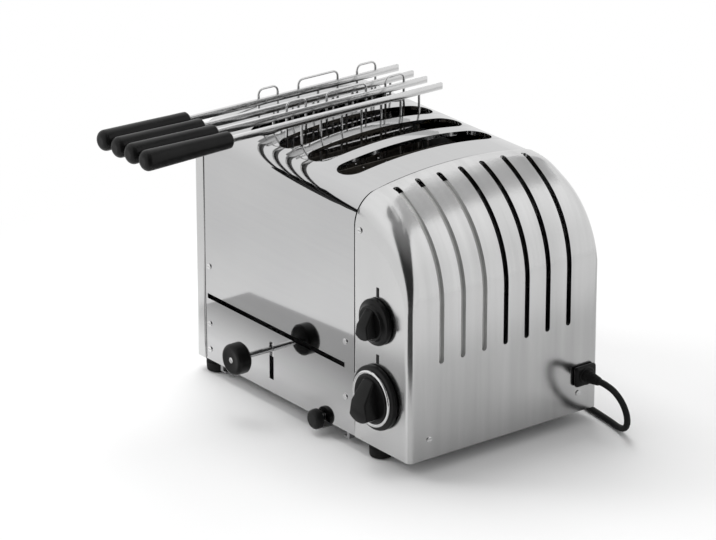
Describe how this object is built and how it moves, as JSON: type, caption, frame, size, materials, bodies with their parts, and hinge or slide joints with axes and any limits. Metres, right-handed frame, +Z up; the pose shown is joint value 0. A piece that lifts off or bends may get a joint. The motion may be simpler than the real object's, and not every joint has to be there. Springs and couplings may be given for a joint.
{
  "type": "toaster",
  "caption": "Polished steel slot toaster with curved louvred end, timer and selector knobs, ejector lever, lift-out sandwich cages and a pull-out crumb tray.",
  "frame": {"origin": "on the table, under the middle of the casing", "axes": "+X to the louvred control end, -Y to the front with the lever and knobs, +Z up"},
  "size_m": [0.3523, 0.4473, 0.2621],
  "materials": {
    "polished_steel": "polished stainless sheet",
    "polished_casting": "polished die casting",
    "plain_steel": "plain sheet steel",
    "plated_wire": "bright plated steel",
    "black_plastic": "smooth black moulding",
    "black_rubber": "dull black rubber",
    "pale_plastic": "heat-proof moulding, light grey",
    "mica": "pressed mica sheet, browned by heat",
    "ribbon": "oxidised resistance ribbon",
    "brass": "plain brass",
    "lead_sleeve": "silicone sleeving"
  },
  "bodies": {
    "housing": {"shell": "polished_steel", "control_casting": "polished_casting", "far_casting": "polished_casting", "front_lower_panel": "polished_steel", "base_plate": "plain_steel", "tray_runners": "plain_steel", "feet": "black_rubber", "front_bulkhead": "plain_steel", "rear_bulkhead": "plain_steel", "heat_shields": "plain_steel", "element_sheets": "mica", "element_ribbons": "ribbon", "bus_bars": "brass", "guard_wires": "plated_wire", "guide_rods": "plated_wire", "rocker_pivot": "plain_steel", "lever_guide": "plain_steel", "timer_body": "pale_plastic", "selector_body": "pale_plastic", "index_marks": "black_plastic", "casing_screws": "plated_wire", "control_screen": "pale_plastic", "terminal_block": "pale_plastic", "internal_leads": "lead_sleeve", "cord_gland": "black_plastic", "strain_relief": "black_rubber", "cord_run": "black_rubber", "cord_coil": "black_rubber", "coil_tie": "black_plastic", "plug_body": "black_plastic", "plug_pins": "brass"},
    "carriage": {"carriage_frame": "plain_steel", "bread_rests": "plated_wire", "carriage_rear_bar": "plain_steel"},
    "lever": {"lever_rod": "plated_wire", "lever_knob": "black_plastic"},
    "rocker_beam": {"rocker": "plain_steel"},
    "timer": {"timer_shaft": "plain_steel", "timer_knob": "black_plastic", "timer_ring": "plated_wire"},
    "selector": {"selector_shaft": "plain_steel", "selector_knob": "black_plastic"},
    "tray": {"crumb_tray": "plain_steel", "tray_pull": "black_plastic"},
    "near_cage": {"near_cage_grid_a": "plated_wire", "near_cage_grid_b": "plated_wire", "near_cage_knuckles": "plated_wire", "near_cage_pin": "plated_wire", "near_cage_handles": "black_plastic"},
    "far_cage": {"far_cage_grid_a": "plated_wire", "far_cage_grid_b": "plated_wire", "far_cage_knuckles": "plated_wire", "far_cage_pin": "plated_wire", "far_cage_handles": "black_plastic"}
  },
  "joints": [
    {"name": "carriage_lift", "type": "slide", "parent": "housing", "child": "carriage", "axis": [0, 0, 1], "range_m": [0, 0.025]},
    {"name": "lever_press", "type": "slide", "parent": "housing", "child": "lever", "axis": [0, 0, -1], "range_m": [0, 0.025]},
    {"name": "rocker_tilt", "type": "hinge", "parent": "housing", "child": "rocker_beam", "pos_m": [0.0055, -0.0915, 0.0405], "axis": [0, -1, 0], "range_deg": [0, 30.45]},
    {"name": "near_cage_lift", "type": "slide", "parent": "carriage", "child": "near_cage", "axis": [0, 0, 1], "range_m": [0, 0.15]},
    {"name": "far_cage_lift", "type": "slide", "parent": "carriage", "child": "far_cage", "axis": [0, 0, 1], "range_m": [0, 0.15]},
    {"name": "crumb_tray_pull", "type": "slide", "parent": "housing", "child": "tray", "axis": [0, -1, 0], "range_m": [0, 0.15]},
    {"name": "timer_turn", "type": "hinge", "parent": "housing", "child": "timer", "pos_m": [0.108, -0.101, 0.0595], "axis": [0, 1, 0], "range_deg": [0, 300]},
    {"name": "selector_turn", "type": "hinge", "parent": "housing", "child": "selector", "pos_m": [0.108, -0.101, 0.1265], "axis": [0, 1, 0], "range_deg": [0, 180]}
  ],
  "couplings": [
    {"joint": "lever_press", "follows": "carriage_lift", "ratio": 1},
    {"joint": "rocker_tilt", "follows": "carriage_lift", "rad_per_m": 21.227}
  ]
}
